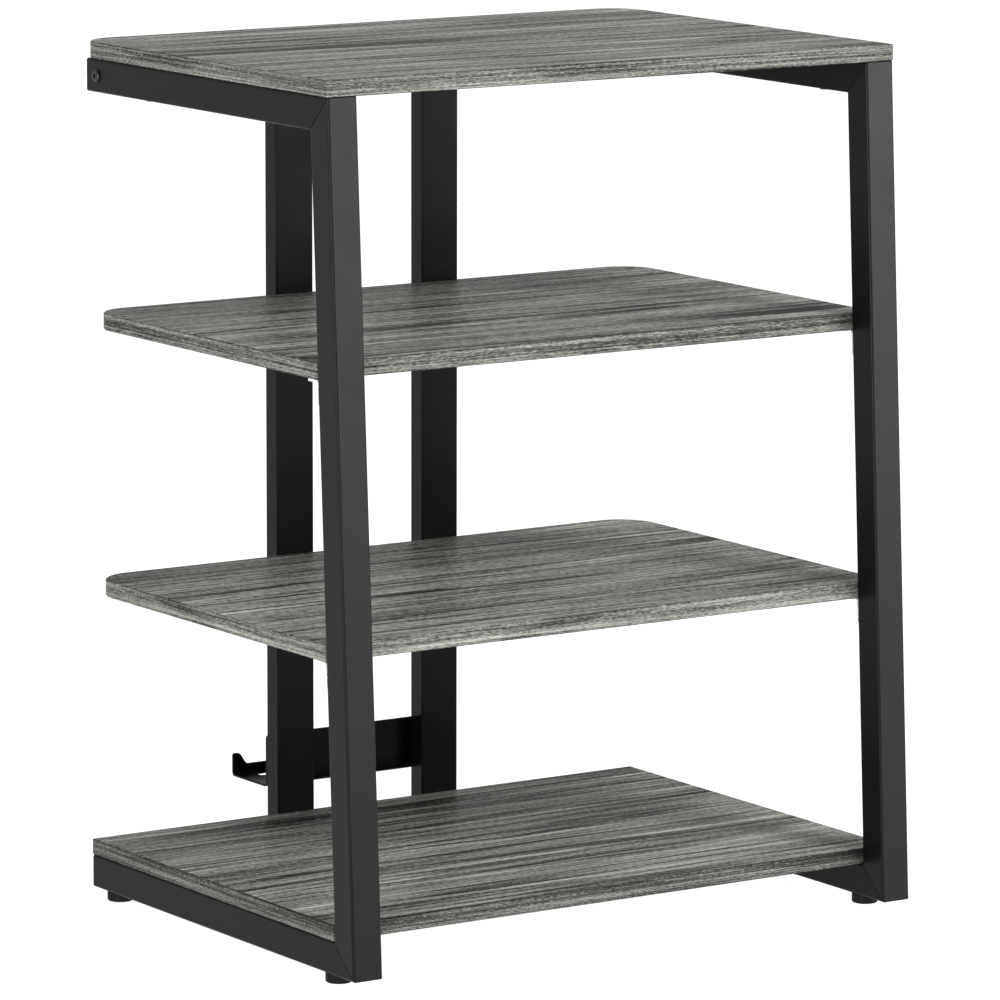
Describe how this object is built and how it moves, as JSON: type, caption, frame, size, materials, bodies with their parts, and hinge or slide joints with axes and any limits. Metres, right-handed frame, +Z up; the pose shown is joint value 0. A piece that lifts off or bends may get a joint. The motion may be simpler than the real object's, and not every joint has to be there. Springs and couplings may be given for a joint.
{
  "type": "audio equipment rack",
  "caption": "Open audio equipment rack with leaning square-tube side frames, grey wood-grain boards, rear posts, levelling feet and a folded power strip holder.",
  "frame": {"origin": "on the floor, at the middle of the rack's outline seen from above", "axes": "+Z up, -Y towards the open front with the leaning legs, +X to the right seen from the front"},
  "size_m": [0.6048, 0.533, 0.79],
  "materials": {
    "wood_board": "satin laminate with a grey-washed oak grain along the width",
    "black_frame": "satin black powder coat",
    "black_sheet": "matt black powder coat",
    "white_bracket": "white coated steel",
    "black_bolt": "black oxide steel",
    "black_plug": "matt moulded plastic",
    "black_foot": "matt moulded plastic",
    "zinc_insert": "bright zinc plating"
  },
  "bodies": {
    "frame": {"top_board": "wood_board", "upper_shelf": "wood_board", "lower_shelf": "wood_board", "bottom_board": "wood_board", "left_front_leg": "black_frame", "left_top_rail": "black_frame", "left_bottom_rail": "black_frame", "right_front_leg": "black_frame", "right_top_rail": "black_frame", "right_bottom_rail": "black_frame", "rear_top_crossbar": "black_frame", "rear_bottom_crossbar": "black_frame", "left_crossbar_flange": "black_frame", "right_crossbar_flange": "black_frame", "left_rear_post": "black_frame", "right_rear_post": "black_frame", "power_strip_holder": "black_sheet", "upper_shelf_left_leg_bracket": "white_bracket", "upper_shelf_left_post_bracket": "white_bracket", "upper_shelf_right_leg_bracket": "white_bracket", "upper_shelf_right_post_bracket": "white_bracket", "lower_shelf_left_leg_bracket": "white_bracket", "lower_shelf_left_post_bracket": "white_bracket", "lower_shelf_right_leg_bracket": "white_bracket", "lower_shelf_right_post_bracket": "white_bracket", "left_top_rail_plug": "black_plug", "left_bottom_rail_plug": "black_plug", "right_top_rail_plug": "black_plug", "right_bottom_rail_plug": "black_plug", "left_post_plug": "black_plug", "right_post_plug": "black_plug", "left_top_crossbar_bolt": "black_bolt", "left_bottom_crossbar_bolt": "black_bolt", "right_top_crossbar_bolt": "black_bolt", "right_bottom_crossbar_bolt": "black_bolt", "left_post_top_bolt": "black_bolt", "left_post_bottom_bolt": "black_bolt", "right_post_top_bolt": "black_bolt", "right_post_bottom_bolt": "black_bolt", "left_holder_lower_bolt": "black_bolt", "left_holder_upper_bolt": "black_bolt", "right_holder_lower_bolt": "black_bolt", "right_holder_upper_bolt": "black_bolt", "top_board_left_rear_bolt": "black_bolt", "top_board_left_front_bolt": "black_bolt", "top_board_right_rear_bolt": "black_bolt", "top_board_right_front_bolt": "black_bolt", "bottom_board_left_rear_bolt": "black_bolt", "bottom_board_left_front_bolt": "black_bolt", "bottom_board_right_rear_bolt": "black_bolt", "bottom_board_right_front_bolt": "black_bolt", "left_front_foot_insert": "zinc_insert", "left_rear_foot_insert": "zinc_insert", "right_front_foot_insert": "zinc_insert", "right_rear_foot_insert": "zinc_insert"},
    "left_front_foot": {"left_front_foot": "black_foot"},
    "left_rear_foot": {"left_rear_foot": "black_foot"},
    "right_front_foot": {"right_front_foot": "black_foot"},
    "right_rear_foot": {"right_rear_foot": "black_foot"}
  },
  "joints": [
    {"name": "left_front_foot_height", "type": "slide", "parent": "frame", "child": "left_front_foot", "axis": [0, 0, -1], "range_m": [0, 0.01]},
    {"name": "left_rear_foot_height", "type": "slide", "parent": "frame", "child": "left_rear_foot", "axis": [0, 0, -1], "range_m": [0, 0.01]},
    {"name": "right_front_foot_height", "type": "slide", "parent": "frame", "child": "right_front_foot", "axis": [0, 0, -1], "range_m": [0, 0.01]},
    {"name": "right_rear_foot_height", "type": "slide", "parent": "frame", "child": "right_rear_foot", "axis": [0, 0, -1], "range_m": [0, 0.01]}
  ]
}
